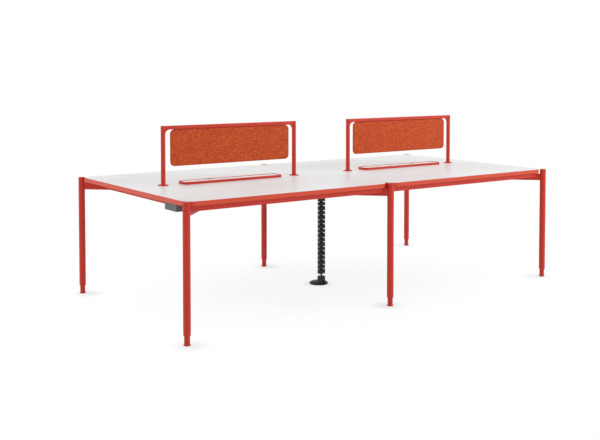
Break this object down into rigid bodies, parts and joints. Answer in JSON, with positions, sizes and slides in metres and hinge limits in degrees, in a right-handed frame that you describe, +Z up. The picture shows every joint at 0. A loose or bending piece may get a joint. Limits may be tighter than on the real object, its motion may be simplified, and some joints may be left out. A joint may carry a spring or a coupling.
{
  "type": "bench desk",
  "caption": "Double-sided bench desk: bays on round legs with diagonal arms, rounded worktops with coloured edges, hanging felt screens, hinged cable port lids and a floor-standing cable spine.",
  "frame": {"origin": "on the floor, at the middle of the bench's footprint", "axes": "+X along the bench to the right as seen from the front, +Y from the front to the back, +Z up"},
  "size_m": [2.8, 1.42, 1.09],
  "materials": {
    "red_paint": "fine textured powder coat, satin",
    "red_foot": "satin powder coat",
    "red_edge": "smooth edge band, satin",
    "white_worktop": "white laminate on board, matt with a fine grain",
    "white_lid": "white powder coat, matt",
    "red_plug": "moulded in the frame's colour, satin",
    "orange_felt": "mottled felted wool",
    "black_plastic": "moulded, matt",
    "grey_plastic": "moulded, fine texture",
    "grey_sheet": "powder coat, matt"
  },
  "bodies": {
    "bench": {"leg_front_left": "red_paint", "leg_front_middle": "red_paint", "leg_front_right": "red_paint", "leg_back_left": "red_paint", "leg_back_middle": "red_paint", "leg_back_right": "red_paint", "leg_plug_front_left": "red_plug", "leg_plug_front_middle": "red_plug", "leg_plug_front_right": "red_plug", "leg_plug_back_left": "red_plug", "leg_plug_back_middle": "red_plug", "leg_plug_back_right": "red_plug", "worktop_left": "white_worktop", "worktop_right": "white_worktop", "edge_band_left": "red_edge", "edge_band_right": "red_edge", "arm_front_left": "red_paint", "arm_front_middle_left": "red_paint", "arm_front_middle_right": "red_paint", "arm_front_right": "red_paint", "arm_back_left": "red_paint", "arm_back_middle_left": "red_paint", "arm_back_middle_right": "red_paint", "arm_back_right": "red_paint", "long_rail_front_left": "red_paint", "long_rail_front_right": "red_paint", "long_rail_back_left": "red_paint", "long_rail_back_right": "red_paint", "cross_bar_left": "red_paint", "cross_bar_middle": "red_paint", "cross_bar_right": "red_paint", "screen_upright_left_left": "red_paint", "screen_upright_left_right": "red_paint", "screen_upright_right_left": "red_paint", "screen_upright_right_right": "red_paint", "screen_flange_left_left": "red_paint", "screen_flange_left_right": "red_paint", "screen_flange_right_left": "red_paint", "screen_flange_right_right": "red_paint", "screen_rail_left": "red_paint", "screen_rail_right": "red_paint", "screen_panel_left": "orange_felt", "screen_panel_right": "orange_felt", "port_frame_left": "red_paint", "port_frame_right": "red_paint", "cable_tray_left": "grey_sheet", "cable_tray_right": "grey_sheet", "spine_links": "black_plastic", "spine_base": "black_plastic", "spine_head": "black_plastic", "box_housing": "grey_plastic", "box_cover": "grey_plastic"},
    "levelling_foot_front_left": {"foot_front_left": "red_foot"},
    "levelling_foot_front_middle": {"foot_front_middle": "red_foot"},
    "levelling_foot_front_right": {"foot_front_right": "red_foot"},
    "levelling_foot_back_left": {"foot_back_left": "red_foot"},
    "levelling_foot_back_middle": {"foot_back_middle": "red_foot"},
    "levelling_foot_back_right": {"foot_back_right": "red_foot"},
    "lid_left": {"port_lid_left": "white_lid"},
    "lid_right": {"port_lid_right": "white_lid"}
  },
  "joints": [
    {"name": "level_front_left", "type": "slide", "parent": "bench", "child": "levelling_foot_front_left", "axis": [0, 0, 1], "range_m": [0, 0.03]},
    {"name": "level_front_middle", "type": "slide", "parent": "bench", "child": "levelling_foot_front_middle", "axis": [0, 0, 1], "range_m": [0, 0.03]},
    {"name": "level_front_right", "type": "slide", "parent": "bench", "child": "levelling_foot_front_right", "axis": [0, 0, 1], "range_m": [0, 0.03]},
    {"name": "level_back_left", "type": "slide", "parent": "bench", "child": "levelling_foot_back_left", "axis": [0, 0, 1], "range_m": [0, 0.03]},
    {"name": "level_back_middle", "type": "slide", "parent": "bench", "child": "levelling_foot_back_middle", "axis": [0, 0, 1], "range_m": [0, 0.03]},
    {"name": "level_back_right", "type": "slide", "parent": "bench", "child": "levelling_foot_back_right", "axis": [0, 0, 1], "range_m": [0, 0.03]},
    {"name": "lid_left_hinge", "type": "hinge", "parent": "bench", "child": "lid_left", "pos_m": [-0.69025, 0.0375, 0.7506], "axis": [-1, 0, 0], "range_deg": [0, 95]},
    {"name": "lid_right_hinge", "type": "hinge", "parent": "bench", "child": "lid_right", "pos_m": [0.69025, 0.0375, 0.7506], "axis": [-1, 0, 0], "range_deg": [0, 95]}
  ]
}
